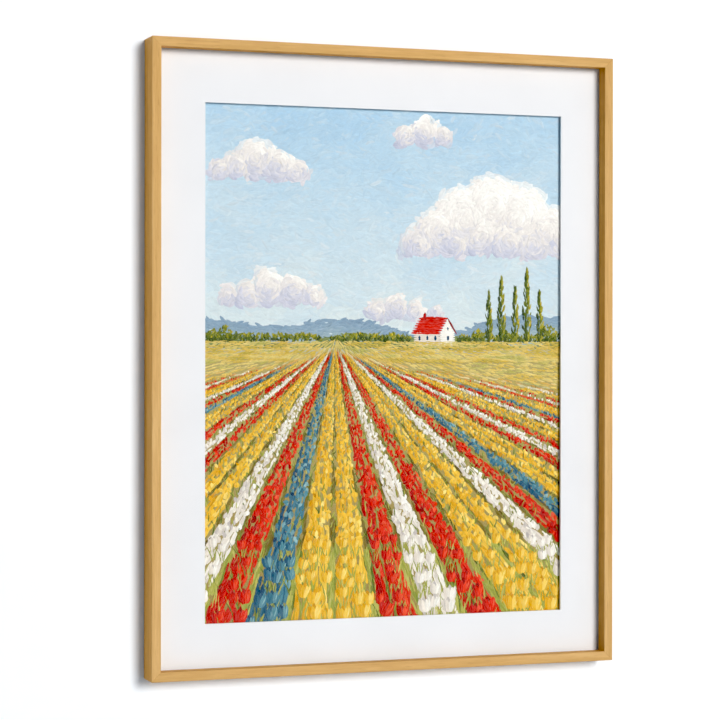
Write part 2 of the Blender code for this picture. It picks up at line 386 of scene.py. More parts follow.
def zinc():
    n = Nodes("zinc")
    place = n.coordinates()
    spangle = n.noise(place, 600.0, roughness=0.4)
    brushed = n.noise(n.scaled(place, (0.15, 1, 1)), 2400.0, detail=3.0, roughness=0.6)
    return n.surface(n.principled(
        Base_Color=n.ramp(spangle, (0.3, linear(164, 166, 170)), (0.7, linear(190, 191, 193))),
        Metallic=0.9,
        Roughness=n.ranged(brushed, 0.3, 0.7, 0.34, 0.52),
        Normal=n.bump(brushed, 0.15, 0.05 * MM),
    ))


def woven(n, place):
    """Height of a canvas weave."""
    across = n.wave(place, 170.0, "X", distortion=0.6)
    upward = n.wave(place, 170.0, "Z", distortion=0.6)
    return n.maths("MULTIPLY", across, upward)


def ground():
    """Toned ground of the picture, which shows between its strokes: straw below, and sky above."""
    n = Nodes("picture_ground")
    place = n.coordinates()
    height = n.add("ShaderNodeSeparateXYZ", Vector=place).outputs["Z"]
    low = PICTURE_LOW.z
    wash = n.ramp(
        n.ranged(height, low, low + WINDOW_HEIGHT * MM),
        (0.0, linear(150, 128, 60)),
        (0.5, linear(176, 160, 96)),
        (0.56, linear(216, 230, 234)),
        (1.0, linear(186, 214, 234)),
    )
    grain = n.noise(place, 700.0, detail=3.0, roughness=0.6)
    return n.surface(n.principled(
        Base_Color=n.blended(n.ranged(grain, 0.3, 0.7, 0.3, 0.0), wash, linear(210, 200, 170)),
        Roughness=0.7,
        Normal=n.bump(woven(n, place), 0.3, 0.2 * MM),
    ))


def thick_paint():
    """Each stroke's own colour, in streaks along it, with the canvas showing through."""
    n = Nodes("paint")
    colour = n.add("ShaderNodeAttribute", attribute_name="paint").outputs["Color"]
    along = n.scaled(n.stroke_coordinates(), (0.12, 1.9, 1.0))
    streaks = n.noise(along, 1.0, detail=3.0, roughness=0.6)
    light = n.blended(n.ranged(streaks, 0.5, 0.7, 0.0, 0.22), colour, linear(255, 250, 238))
    dark = n.blended(n.ranged(streaks, 0.28, 0.46, 0.35, 0.0), light, colour, "MULTIPLY")
    relief = n.maths("ADD", streaks, n.maths("MULTIPLY", woven(n, n.coordinates()), 0.35))
    return n.surface(n.principled(
        Base_Color=dark,
        Roughness=n.ranged(streaks, 0.3, 0.7, 0.62, 0.42),
        Specular_IOR_Level=0.3,
        Normal=n.bump(relief, 0.35, 0.25 * MM),
    ))


def dress(material, *names):
    for name in names:
        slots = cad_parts[name].data.materials
        slots.clear()
        slots.append(material)


def dress_nodes():
    # Levels of tone per rail: the right rail darker, the top and bottom a little darker than the left.
    dress(oak("oak_top", 0, 1.0, 0.995), "rail_top")
    dress(oak("oak_bottom", 0, 2.0, 0.99), "rail_bottom")
    dress(oak("oak_left", 2, 3.0, 1.0), "rail_left")
    dress(oak("oak_right", 2, 4.0, 0.96), "rail_right")
    dress(glazing(), "glazing_sheet")
    dress(mat_board(), "mat_board")
    dress(ground(), "art_print")
    dress(foam_board(), "mat_riser")
    dress(fibreboard(), "backing_board")
    fittings = [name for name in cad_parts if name.startswith(("tab_", "hanger_", "rivet_"))]
    dress(zinc(), *fittings)


def shift_across(vertices, inward, distance):
    """Moves vertices of a level rail's mitred end faces square to those faces."""
    for vertex in vertices:
        vertex.co += distance * Vector((copysign(1, vertex.co.x), 0, inward)).normalized()


def mitre_ends(name, inward):
    """Thin solids on both mitred ends of a level rail, whose inner side faces up (1) or down (-1)."""
    ends = bmesh.new()
    ends.from_mesh(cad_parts[name].data)
    others = [
        face for face in ends.faces
        if face.normal.z * inward < MITRE_FACING or abs(face.normal.x) < MITRE_FACING
    ]
    bmesh.ops.delete(ends, geom=others, context="FACES")
    bmesh.ops.remove_doubles(ends, verts=ends.verts, dist=GLUE_PLAY)
    shift_across(ends.verts, inward, GLUE_PLAY)
    near_faces = [face.verts[:] for face in ends.faces]
    rims = [edge.verts[:] for edge in ends.edges if edge.is_boundary]
    far = {vertex: ends.verts.new(vertex.co) for vertex in ends.verts[:]}
    shift_across(far.values(), inward, GLUE_LINE)
    for corners in near_faces:
        ends.faces.new([far[corner] for corner in corners])
    for a, b in rims:
        ends.faces.new((a, b, far[b], far[a]))
    bmesh.ops.recalc_face_normals(ends, faces=ends.faces)
    mesh = bpy.data.meshes.new(name)
    ends.to_mesh(mesh)
    ends.free()
    return mesh


def glue_lines():
    """Fills the narrow gaps at the four mitres with a line of glue and dust, flush with the rails."""
    bm = bmesh.new()
    for name, inward in (("rail_top", -1), ("rail_bottom", 1)):
        mesh = mitre_ends(name, inward)
        bm.from_mesh(mesh)
        bpy.data.meshes.remove(mesh)
    joined = bpy.data.meshes.new("mitre_glue")
    bm.to_mesh(joined)
    bm.free()
    joined.materials.append(glue())
    obj = add_object("mitre_glue", joined)
    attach(obj, "root")


class Brush(NamedTuple):
    """A kind of stroke: thickness, share of breadth lost from start to end, faces along and across, and
    strength of its streaks."""
    thick: float
    taper: float
    faces: tuple
    streak: float


class Stroke(NamedTuple):
    """Points in rows along a stroke and columns across it, each with a height and a colour."""
    grid_x: np.ndarray
    grid_z: np.ndarray
    height: np.ndarray
    tints: np.ndarray
    length: float
    width: float

    def points(self):
        return np.stack((self.grid_x, -self.height, self.grid_z), axis=-1).reshape(-1, 3)

    def shares(self):
        """How far along the stroke and across it each point is, from 0 to 1."""
        rows, columns = self.grid_x.shape
        s, t = np.meshgrid(np.linspace(0, 1, rows), np.linspace(0, 1, columns), indexing="ij")
        return np.stack((s, t), axis=-1).reshape(-1, 2)

    def marks(self, number):
        """Where each point reads its streaks, in millimetres: elsewhere for each stroke's number."""
        offset = number * STREAK_STEP
        return self.shares() * (self.length, self.width) + (offset, offset % STREAK_WRAP)

    def corners(self, first):
        """The four points of each face, when the stroke's first point has this number."""
        rows, columns = self.grid_x.shape
        corner = first + np.arange((rows - 1) * columns).reshape(rows - 1, columns)[:, :-1].reshape(-1)
        return np.stack((corner, corner + columns, corner + columns + 1, corner + 1), axis=-1)


def halved(grid):
    """The grid with a row added between each two."""
    finer = np.empty((2 * len(grid) - 1, *grid.shape[1:]))
    finer[0::2] = grid
    finer[1::2] = (grid[1:] + grid[:-1]) / 2
    return finer


def ripple(x, z, size, seed):
    """Smooth random value from -1 to 1 that changes over this many millimetres."""
    return noise.noise(Vector((x / size, z / size, seed * RIPPLE_SPACING)))


class Painting:
    """Strokes of thick paint, each laid over those before it. Lengths are in millimetres."""

    def __init__(self):
        columns = int((WINDOW_WIDTH + 2 * PICTURE_PAD) / RELIEF_CELL) + 1
        rows = int((WINDOW_HEIGHT + 2 * PICTURE_PAD) / RELIEF_CELL) + 1
        self.relief = np.zeros((columns, rows))
        self.random = np.random.default_rng(PAINT_SEED)
        self.strokes = []
        self.stroke_count = 0

    def cell(self, x, z):
        column = ((x + PICTURE_PAD) / RELIEF_CELL).astype(int)
        row = ((z + PICTURE_PAD) / RELIEF_CELL).astype(int)
        return column.clip(0, self.relief.shape[0] - 1), row.clip(0, self.relief.shape[1] - 1)

    def stroke(self, x, z, angle, length, width, colour, brush, bend=0.0):
        """A stroke from its middle, in a direction, that bends by an angle along its length.

        It is broadest and thickest in the middle, and thicker at its end than at its start.
        """
        rows, columns = brush.faces
        s = np.linspace(0.0, 1.0, rows + 1)
        ends = 1.0 - np.abs(2 * s - 1) ** 3
        uneven = self.random.uniform(0.88, 1.1, rows + 1)
        breadth = width / 2 * (0.34 + 0.66 * ends) * (1 - brush.taper * s) * uneven
        grid_x, grid_z = self.spread(x, z, angle + bend * (s - 0.5), length, breadth, columns)
        body = (0.25 + 0.75 * ends ** 0.6) * (0.85 + 0.3 * s)
        height = self.laid(grid_x, grid_z, body, brush.thick)
        tints = self.streaked(colour, brush)
        self.strokes.append(Stroke(grid_x, grid_z, height, tints, length, width))
        self.press(grid_x, grid_z, height)

    def spread(self, x, z, turn, length, breadth, columns):
        """Points across a line about its middle, from its direction and half breadth at each row."""
        step = length / (len(turn) - 1)
        line_x = np.concatenate(([0.0], np.cumsum(np.cos((turn[1:] + turn[:-1]) / 2)))) * step
        line_z = np.concatenate(([0.0], np.cumsum(np.sin((turn[1:] + turn[:-1]) / 2)))) * step
        line_x += x - line_x.mean()
        line_z += z - line_z.mean()
        across = np.linspace(-1.0, 1.0, columns + 1)[None, :] * breadth[:, None]
        grid_x = line_x[:, None] - np.sin(turn)[:, None] * across
        grid_z = line_z[:, None] + np.cos(turn)[:, None] * across
        low = PAD_INSET - PICTURE_PAD
        return grid_x.clip(low, WINDOW_WIDTH - low), grid_z.clip(low, WINDOW_HEIGHT - low)

    def laid(self, grid_x, grid_z, body, thick):
        """Height of a stroke over what lies under it: ridged along it, with its edges sunk in."""
        under = self.relief[self.cell(grid_x, grid_z)]
        bed = (under.mean(axis=1) + under.max(axis=1)) / 2
        bed[1:-1] = (bed[:-2] + 2 * bed[1:-1] + bed[2:]) / 4
        ridges = self.random.uniform(0.45, 1.0, grid_x.shape[1])
        height = bed[:, None] + thick * ridges[None, :] * body[:, None]
        sunk = np.minimum(under, bed[:, None]) - EDGE_SINK
        height[:, 0], height[:, -1] = sunk[:, 0], sunk[:, -1]
        height[0], height[-1] = (height[0] + sunk[0]) / 2, (height[-1] + sunk[-1]) / 2
        return height.clip(RELIEF_FOOT, RELIEF_TOP)

    def streaked(self, colour, brush):
        """The colour at each point, lighter and darker from bristle to bristle and along the stroke."""
        rows, columns = brush.faces
        streaks = self.random.normal(0, 1, columns + 1)[None, :]
        bands = self.random.normal(0, 0.5, rows + 1)[:, None]
        tint = 1 + brush.streak * (streaks + bands)
        return (np.array(colour)[None, None, :] * tint[:, :, None]).clip(0, 1)

    def press(self, grid_x, grid_z, height):
        """Raises the relief to the new stroke."""
        stack = np.stack((grid_x, grid_z, height), axis=-1)
        stack = halved(halved(stack))
        stack = halved(stack.transpose(1, 0, 2))
        cells = self.cell(stack[..., 0], stack[..., 1])
        np.maximum.at(self.relief, cells, stack[..., 2])

    def piece(self, name, material):
        """Joins the strokes so far into one mesh and starts the next."""
        counts = [stroke.grid_x.size for stroke in self.strokes]
        firsts = np.cumsum([0, *counts[:-1]])
        points = np.concatenate([stroke.points() for stroke in self.strokes])
        points = points * MM + np.array(PICTURE_LOW)
        corners = np.concatenate([stroke.corners(first) for stroke, first in zip(self.strokes, firsts)])
        mesh = bpy.data.meshes.new(name)
        mesh.from_pydata(points.tolist(), [], corners.tolist())
        mesh.polygons.foreach_set("use_smooth", np.ones(len(mesh.polygons), dtype=bool))
        self.colour_points(mesh)
        self.map_points(mesh, counts)
        mesh.materials.append(material)
        obj = add_object(name, mesh)
        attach(obj, "root")
        self.stroke_count += len(self.strokes)
        self.strokes = []

    def colour_points(self, mesh):
        rgba = np.ones((len(mesh.vertices), 4))
        rgba[:, :3] = np.concatenate([stroke.tints.reshape(-1, 3) for stroke in self.strokes])
        layer = mesh.color_attributes.new("paint", "FLOAT_COLOR", "POINT")
        layer.data.foreach_set("color", rgba.reshape(-1))

    def map_points(self, mesh, counts):
        """Two texture maps: one for the streaks, and one where each face has a place of its own."""
        numbered = enumerate(self.strokes, self.stroke_count)
        marks = np.concatenate([stroke.marks(number) for number, stroke in numbered])
        shares = np.concatenate([stroke.shares() for stroke in self.strokes])
        sizes = [(stroke.length, stroke.width) for stroke in self.strokes]
        atlas = atlas_places(sizes, shares, np.repeat(np.arange(len(counts)), counts))
        of_loop = np.empty(len(mesh.loops), dtype=int)
        mesh.loops.foreach_get("vertex_index", of_loop)
        for map_name, values in (("stroke", marks), ("OFBake", atlas)):
            mesh.uv_layers.new(name=map_name).data.foreach_set("uv", values[of_loop].reshape(-1))


def atlas_places(sizes, shares, owners):
    """Texture map with a rectangle of its own for each stroke, packed in shelves."""
    margin = 0.35
    area = sum((length + margin) * (width + margin) for length, width in sizes)
    side = (area * 1.06) ** 0.5 + max(length for length, _ in sizes)
    corner = np.zeros((len(sizes), 2))
    x = z = shelf = 0.0
    for index in sorted(range(len(sizes)), key=lambda i: -sizes[i][1]):
        length, width = sizes[index]
        if x + length + margin > side:
            x, z, shelf = 0.0, z + shelf, 0.0
        corner[index] = x, z
        x += length + margin
        shelf = max(shelf, width + margin)
    whole = max(side, z + shelf)
    extent = np.array(sizes)
    return (corner[owners] + shares * extent[owners]) / whole


def mixed(*colours):
    """The tones of one paint, from sRGB colours."""
    return [linear(*colour) for colour in colours]


# Paints of the picture.
SKY = mixed((172, 205, 226), (188, 214, 228), (203, 221, 228), (220, 230, 228))
CLOUD = mixed((188, 192, 210), (210, 210, 220), (238, 232, 225), (254, 251, 243))
FAR_HILL = mixed((130, 156, 178), (148, 172, 188), (168, 188, 190))
NEAR_HILL = mixed((112, 132, 92), (140, 152, 92), (168, 170, 96))
TREE = mixed((58, 76, 40), (92, 108, 44), (150, 150, 52), (206, 184, 60))
EARTH = mixed((92, 78, 34), (120, 104, 44), (142, 126, 60))
LEAF = mixed((86, 102, 46), (120, 134, 56), (162, 166, 76), (200, 194, 108))
GOLD = mixed((204, 142, 30), (224, 170, 44), (240, 198, 74), (250, 226, 136))
RED = mixed((140, 18, 20), (190, 28, 22), (220, 50, 30), (236, 96, 62))
WHITE = mixed((190, 182, 178), (224, 214, 200), (242, 236, 222), (252, 249, 240))
FAR_FIELD = mixed((196, 176, 84), (218, 188, 92), (226, 206, 128), (190, 182, 100))
TEAL = mixed((32, 62, 96), (46, 96, 122), (88, 142, 154), (150, 186, 188))
ROW_ORDER = (GOLD, RED, WHITE, RED, GOLD, GOLD, WHITE, RED, TEAL, GOLD)

# Brushes of the picture: thickness, taper, faces along and across, and streaks.
SKY_WASH = Brush(0.1, 0.1, (6, 5), 0.03)
SKY_DAB = Brush(0.13, 0.2, (6, 4), 0.03)
FAR_HILL_DAB = Brush(0.24, 0.1, (5, 4), 0.05)
NEAR_HILL_DAB = Brush(0.2, 0.2, (5, 4), 0.07)
BUSH_DAB = Brush(0.2, 0.2, (4, 3), 0.09)
TRUNK_LINE = Brush(0.14, 0.1, (4, 2), 0.08)
POPLAR_DAB = Brush(0.17, 0.35, (4, 3), 0.09)
WALL_LINE = Brush(0.26, 0.0, (8, 4), 0.05)
ROOF_LINE = Brush(0.3, 0.0, (8, 4), 0.05)
VERGE_LINE = Brush(0.3, 0.0, (7, 3), 0.05)
CHIMNEY_DAB = Brush(0.3, 0.0, (4, 3), 0.08)
WINDOW_DAB = Brush(0.24, 0.0, (5, 3), 0.04)
LOFT_DAB = Brush(0.24, 0.0, (4, 3), 0.04)
ROW_LINE = Brush(0.1, 0.3, (5, 3), 0.08)
GRASS_DAB = Brush(0.1, 0.6, (4, 2), 0.08)
BLOSSOM_DAB = Brush(0.13, 0.15, (3, 3), 0.08)
BLADE_LINE = Brush(0.1, 0.8, (6, 2), 0.07)
LEAF_LINE = Brush(0.12, 0.75, (6, 3), 0.07)
STEM_LINE = Brush(0.12, 0.1, (5, 2), 0.06)
PETAL_DAB = Brush(0.15, 0.35, (6, 4), 0.06)


def tone(colours, level):
    """The colour at a level from 0 to 1 along a list of tones."""
    place = min(max(level, 0.0), 1.0) * (len(colours) - 1)
    index = min(int(place), len(colours) - 2)
    share = place - index
    return tuple(a + (b - a) * share for a, b in zip(colours[index], colours[index + 1]))


def cover(art, low, high, pitch_x, pitch_z):
    """Places spread evenly but loosely over the picture between two heights, in random order."""
    xs = np.arange(PAINTED_LEFT + pitch_x / 2, PAINTED_RIGHT, pitch_x)
    zs = np.arange(low + pitch_z / 2, high, pitch_z)
    places = np.array([(x, z) for x in xs for z in zs])
    places += art.random.uniform(-0.55, 0.55, places.shape) * (pitch_x, pitch_z)
    return art.random.permutation(places).tolist()


# Clouds: the height of each one's flat foot, and its puffs as middle x, middle z and radius.
CLOUDS = (
    (428.0, (
        (262, 434, 22), (290, 448, 32), (322, 466, 40), (356, 484, 38), (390, 470, 42), (428, 452, 36),
        (340, 446, 38), (376, 440, 36), (306, 436, 28), (412, 436, 30), (446, 440, 30),
    )),
    (512.0, ((40, 520, 18), (62, 530, 24), (88, 524, 20), (110, 517, 14), (20, 515, 13))),
    (368.0, ((52, 376, 16), (78, 384, 22), (106, 380, 18), (132, 373, 13), (28, 372, 12))),
    (556.0, ((246, 562, 13), (268, 568, 17), (292, 562, 12))),
    (352.0, ((210, 357, 12), (232, 361, 15), (258, 357, 12), (284, 355, 9))),
)

# Layers of dabs on them: pitch, length, width and thickness, and how far the dabs curl round a puff.
CLOUD_LAYERS = (
    (6.0, 13, 8.0, 0.2, 0.1),
    (8.5, 17, 7.5, 0.16, 1),
    (6.2, 11, 5.0, 0.2, 1),
    (7.5, 8, 3.6, 0.26, 1),
)


def cloud_at(x, z):
    """How deep a point lies in a cloud, how much light it gets, and the direction round its puff."""
    wobble_x = x + 5 * ripple(x, z, 16, 3) + 2.5 * ripple(x, z, 6, 4)
    wobble_z = z + 5 * ripple(x, z, 16, 5) + 2.5 * ripple(x, z, 6, 6)
    best = (0.0, 0.0, 0.0)
    for foot, puffs in CLOUDS:
        if wobble_z < foot - 3:
            continue
        for middle_x, middle_z, radius in puffs:
            dx, dz = (wobble_x - middle_x) / radius, (wobble_z - middle_z) / radius
            depth = 1 - dx * dx - dz * dz
            if depth > best[0]:
                rise = (wobble_z - foot) / 46
                light = 0.42 + 0.13 * dx + 0.20 * dz + 0.40 * min(rise, 1.0)
                best = (depth, light, np.arctan2(dx, -dz))
    return best


def sky_tone(x, z):
    level = 0.95 - 0.8 * (z - HORIZON) / (WINDOW_HEIGHT - HORIZON)
    return tone(SKY, level + 0.22 * ripple(x, z, 60, 1) + 0.12 * ripple(x, z, 18, 2))


def paint_sky(art):
    """A broad wash, and swirling dabs over it where there is no cloud."""
    for x, z in cover(art, HORIZON + 3, PAINTED_TOP, 15, 9):
        angle = 0.5 * ripple(x, z, 90, 8) + art.random.normal(0, 0.25)
        art.stroke(x, z, angle, art.random.uniform(26, 40), 10, sky_tone(x, z), SKY_WASH, 0.4)
    for x, z in cover(art, HORIZON + 3, PAINTED_TOP, 11.5, 5.2):
        depth = cloud_at(x, z)[0]
        if depth > 0.25:
            continue
        angle = ripple(x, z, 70, 9) * 1.1 + art.random.normal(0, 0.5)
        colour = tone([sky_tone(x, z), CLOUD[2]], max(0.0, art.random.normal(0, 0.11)))
        length = art.random.uniform(9, 17)
        width = art.random.uniform(4.0, 6.2)
        art.stroke(x, z, angle, length, width, colour, SKY_DAB, art.random.normal(0, 0.5))


def paint_clouds(art):
    for pitch, length, width, thick, follow in CLOUD_LAYERS:
        brush = Brush(thick, taper=0.2, faces=(5, 4), streak=0.045)
        for x, z in cover(art, CLOUDS_FOOT, CLOUDS_TOP, pitch, pitch * 0.62):
            depth, light, around = cloud_at(x, z)
            if depth < 0.03:
                continue
            level = light + 0.16 * ripple(x, z, 13, 12) + art.random.normal(0, 0.07)
            colour = tone(CLOUD, level)
            if depth < 0.14:
                colour = tone([colour, sky_tone(x, z)], 0.35)
            size = art.random.uniform(0.7, 1.2)
            angle = follow * around + art.random.normal(0, 0.4)
            art.stroke(x, z, angle, length * size, width * size, colour, brush, 0.8)


def far_ridge(x):
    return HORIZON + 12 + 9 * sin(x / 70 + 0.6) + 7 * sin(x / 31 + 2.0) + 0.035 * x


def near_ridge(x):
    return HORIZON + 3 + 5 * sin(x / 52 + 3.4) + 3 * sin(x / 23)


def paint_hills(art):
    """Blue hills far off, and low green ones before them."""
    for x, z in cover(art, HORIZON - 4, HORIZON + 48, 6.5, 2.2):
        if z > far_ridge(x):
            continue
        level = 0.2 + (far_ridge(x) - z) / 30 + 0.3 * ripple(x, z, 22, 21)
        angle = -0.25 * cos(x / 70 + 0.6) + art.random.normal(0, 0.3)
        length = art.random.uniform(10, 18)
        art.stroke(x, z, angle, length, 4.4, tone(FAR_HILL, level), FAR_HILL_DAB, 0.2)
    for x, z in cover(art, HORIZON - 8, HORIZON + 14, 6, 1.9):
        if z > near_ridge(x):
            continue
        level = 0.4 + 0.6 * ripple(x, z, 30, 22) + art.random.normal(0, 0.2)
        angle = art.random.normal(0, 0.22)
        length = art.random.uniform(8, 15)
        art.stroke(x, z, angle, length, 2.8, tone(NEAR_HILL, level), NEAR_HILL_DAB, 0.2)


# Poplars as x, height and girth, and bushes as x, z and radius.
POPLARS = ((352, 56, 5.6), (368, 74, 6.6), (386, 62, 6.0), (401, 84, 7.0), (418, 58, 5.6))
BUSHES = ((338, 328, 8), (378, 327, 8), (430, 331, 11), (24, 330, 9), (10, 327, 8))


def paint_bush(art, x, z, radius, dabs):
    """A rounded tree of short dabs, lit from the upper right."""
    for _ in range(dabs):
        turn, out = art.random.uniform(0, tau), art.random.uniform(0, 1) ** 0.5
        dx, dz = cos(turn) * out, sin(turn) * out
        level = 0.42 + 0.34 * (0.6 * dx + 0.8 * dz) + art.random.normal(0, 0.16)
        angle = art.random.uniform(0.2, 2.4)
        length = art.random.uniform(3.4, 6.0)
        width = art.random.uniform(2.0, 3.2)
        spot_x, spot_z = x + dx * radius, z + dz * radius * 1.05
        art.stroke(spot_x, spot_z, angle, length, width, tone(TREE, level), BUSH_DAB, 0.8)


def paint_poplar(art, x, foot, height, girth):
    """A tall slender tree of upward strokes, narrow at its top."""
    art.stroke(x, foot + 4, pi / 2, 10, 1.8, EARTH[0], TRUNK_LINE)
    count = height * 1.5
    for index in range(int(count)):
        up = index / count
        reach = girth * (1 - up) ** 0.6 * min(1.0, 0.35 + 3 * up)
        side = art.random.uniform(-1, 1)
        level = 0.34 + 0.36 * side + 0.1 * up + art.random.normal(0, 0.16)
        length = art.random.uniform(5, 9)
        width = art.random.uniform(1.8, 2.8)
        spot_x, spot_z = x + side * reach, foot + 5 + up * height
        angle = pi / 2 - 0.32 * side
        art.stroke(spot_x, spot_z, angle, length, width, tone(TREE, level), POPLAR_DAB, 0.3 * side)


def paint_trees(art):
    """A hedge along the horizon that stops at the house, and the poplars and bushes."""
    for x in np.arange(PAINTED_LEFT, PAINTED_RIGHT + 3, 5.5):
        height = 5 + 4 * ripple(x, 0, 24, 31)
        if height > 3.2 and not HOUSE_LEFT - HOUSE_MARGIN < x < HOUSE_RIGHT + HOUSE_MARGIN:
            paint_bush(art, x, HORIZON + 2 + height * 0.4, height * 0.75, 11)
    for x, height, girth in POPLARS:
        paint_poplar(art, x, HORIZON - 2, height, girth)
    for x, z, radius in BUSHES:
        paint_bush(art, x, z, radius, int(radius * 5))


def paint_panel(art, low, high, count, width, tones, level, brush):
    """A flat panel of strokes from its low edge to its high one, each edge as left x, right x and z."""
    for share in np.linspace(0.0, 1.0, count):
        left, right, z = ((1 - share) * a + share * b for a, b in zip(low, high))
        colour = tone(tones, level + art.random.normal(0, 0.07))
        angle = art.random.normal(0, 0.015)
        art.stroke((left + right) / 2, z, angle, right - left, width, colour, brush)


def paint_farmhouse(art):
    """A small white house with a red roof, its gable in the light and its long wall in shade."""
    left, corner, right = HOUSE_LEFT, HOUSE_CORNER, HOUSE_RIGHT
    foot, eaves, ridge = HOUSE_FOOT, HOUSE_EAVES, HOUSE_RIDGE
    gable = (corner + right) / 2
    panels = (
        ((corner - 1, right, foot), (corner - 1, right, eaves), 7, 4.0, WHITE, 0.95, WALL_LINE),
        ((corner, right - 1, eaves), (gable - 1, gable + 1, ridge - 2), 6, 4.0, WHITE, 0.92, WALL_LINE),
        ((left, corner, foot), (left, corner, eaves - 1), 7, 4.0, WHITE, 0.42, WALL_LINE),
        ((left - 3, corner, eaves - 1), (left + 6, gable, ridge), 7, 4.6, RED, 0.5, ROOF_LINE),
    )
    for panel in panels:
        paint_panel(art, *panel)
    slope = ridge - eaves
    pitch = np.arctan2(slope, right - gable + 1)
    verge_x, verge_z = (gable + right) / 2 + 1, eaves + slope / 2 - 0.5
    art.stroke(verge_x, verge_z, -pitch, slope * 1.45, 2.4, RED[0], VERGE_LINE)
    art.stroke(left + 14, ridge + 2.5, pi / 2, 9, 4.2, tone(RED, 0.2), CHIMNEY_DAB)
    for x in (left + 7, left + 17, left + 27, gable):
        art.stroke(x, foot + 8, pi / 2, 6.0, 3.4, tone(TEAL, 0.12), WINDOW_DAB)
    art.stroke(gable, eaves + 4, pi / 2, 4.0, 2.4, tone(TEAL, 0.2), LOFT_DAB)


def row_at(x, z):
    """The paint of the flower row at a point, and how far across the row it is, from 0 to 1."""
    lane = (x - ROWS_MEET_X) / max(HORIZON - z, 1.0) / ROW_PITCH
    index = int(np.floor(lane))
    return ROW_ORDER[index % len(ROW_ORDER)], lane - index


def far_share(x, z):
    """How far the rows at a point blend into one field, from 0 where a row is broad to 1."""
    drop = max(HORIZON - z, 1.0)
    breadth = ROW_PITCH * drop * drop / np.hypot(drop, x - ROWS_MEET_X)
    return float(np.clip((FAR_BREADTH - breadth) / (FAR_BREADTH - HAIR_BREADTH), 0, 1))


def far_field(x, z):
    """Colour of the distant fields: flat bands of gold and green."""
    return tone(FAR_FIELD, 0.5 + 0.9 * ripple(x / 6, z, 5, 41) + 0.2 * ripple(x, z, 14, 42))


def row_angle(x, z):
    return float(np.arctan2(HORIZON + 4 - z, ROWS_MEET_X - x))


def paint_rows(art):
    """The rows' own colours, in strokes that run towards the place where the rows meet."""
    places = cover(art, PAINTED_FOOT, HORIZON - 40, 10, 5.0)
    places += cover(art, HORIZON - 60, HORIZON - 16, 5, 2.6)
    places += cover(art, HORIZON - 24, HORIZON, 4, 1.4)
    for x, z in sorted(places, key=lambda place: -place[1]):
        near = (HORIZON - z) / HORIZON
        tones, across = row_at(x, z)
        if across > PATH_START or across < 0.05:
            tones = EARTH if near < 0.75 else LEAF
        level = 0.25 + 0.5 * across + art.random.normal(0, 0.15)
        colour = tone([tone(tones, level), far_field(x, z)], far_share(x, z))
        angle = row_angle(x, z) + art.random.normal(0, 0.06)
        brush = ROW_LINE._replace(thick=ROW_LINE.thick + 0.2 * (1 - near) ** 4)
        art.stroke(x, z, angle, 6 + 18 * near, 1.6 + 4.2 * near, colour, brush)


def paint_blossom(art, x, z, size):
    """A dab of the row's paint, or now and then a leaf. On a path there are leaves alone."""
    tones, across = row_at(x, z)
    if art.random.random() < far_share(x, z) * 1.4:
        return
    if across > PATH_START or across < 0.06:
        if art.random.random() < PATH_LEAVES:
            art.stroke(x, z, pi / 2 + art.random.normal(0, 0.5), size * 1.7, size * 0.42,
                       tone(LEAF, art.random.uniform(0, 0.8)), GRASS_DAB, 0.4)
        return
    if art.random.random() < ROW_LEAVES:
        art.stroke(x, z, pi / 2 + art.random.normal(0, 0.35), size * 1.9, size * 0.4,
                   tone(LEAF, art.random.uniform(0.1, 0.9)), GRASS_DAB, 0.4)
        return
    level = 0.3 + 0.5 * across + art.random.normal(0, 0.2)
    angle = pi / 2 + art.random.normal(0, 0.5)
    art.stroke(x, z, angle, size * 1.15, size * 0.82, tone(tones, level), BLOSSOM_DAB, 0.5)


def paint_flowers(art, far, near):
    """Small dabs that grow from one distance below the horizon to another."""
    drop = far
    while drop < near:
        size = 0.9 + 0.027 * drop
        for x in np.arange(PAINTED_LEFT, PAINTED_RIGHT, size * 1.02):
            spot_x = x + art.random.normal(0, size * 0.35)
            spot_z = HORIZON - drop + art.random.normal(0, size * 0.3)
            paint_blossom(art, spot_x, spot_z, size)
        drop += size * 0.78


# Petals of a flower from back to front: place across and up it, tilt, width, level of tone and length.
# Places, widths and lengths are shares of the flower's size.
PETALS = (
    (-0.05, 0.10, 0.00, 0.50, 0.14, 0.90),
    (-0.27, 0.00, 0.22, 0.44, 0.32, 0.95),
    (0.27, 0.00, -0.22, 0.44, 0.62, 0.95),
    (-0.10, -0.06, 0.08, 0.46, 0.50, 0.86),
    (0.13, -0.05, -0.10, 0.40, 0.80, 0.84),
    (0.30, 0.08, -0.26, 0.12, 1.00, 0.60),
)

# Ranks of the nearest flowers: distance below the horizon, and size.
FRONT_RANKS = ((236, 11.5), (254, 13), (273, 14.5), (293, 16.5), (314, 18.5), (338, 21))


def leaf_shade(tones):
    """Level of the darkest leaves beside these petals, so that no dark marks cut the pale ones."""
    return 0.62 if tones is WHITE or tones is GOLD else 0.1


def paint_tulip(art, x, z, size, tones, lean):
    """One flower near the front: leaves and stem, then petals from the back ones to the lit one."""
    up = pi / 2 + lean
    for side in (-1, 1):
        level = max(0.3 + 0.25 * side + art.random.uniform(0, 0.35), leaf_shade(tones))
        art.stroke(x + side * size * 0.34, z - size * 0.95, up - side * 0.3, size * 1.7, size * 0.22,
                   tone(LEAF, level), LEAF_LINE, -side * 0.5)
    art.stroke(x - cos(up) * size, z - sin(up) * size, up, size * 1.3, size * 0.12, tone(LEAF, 0.62),
               STEM_LINE, 0.15)
    for shift, lift, tilt, width, level, length in PETALS:
        petal_x = x + (shift * sin(up) + lift * cos(up)) * size
        petal_z = z + (lift * sin(up) - shift * cos(up)) * size
        colour = tone(tones, level + art.random.normal(0, 0.06))
        art.stroke(petal_x, petal_z, up + tilt, size * length, size * width, colour, PETAL_DAB,
                   -2.2 * tilt)


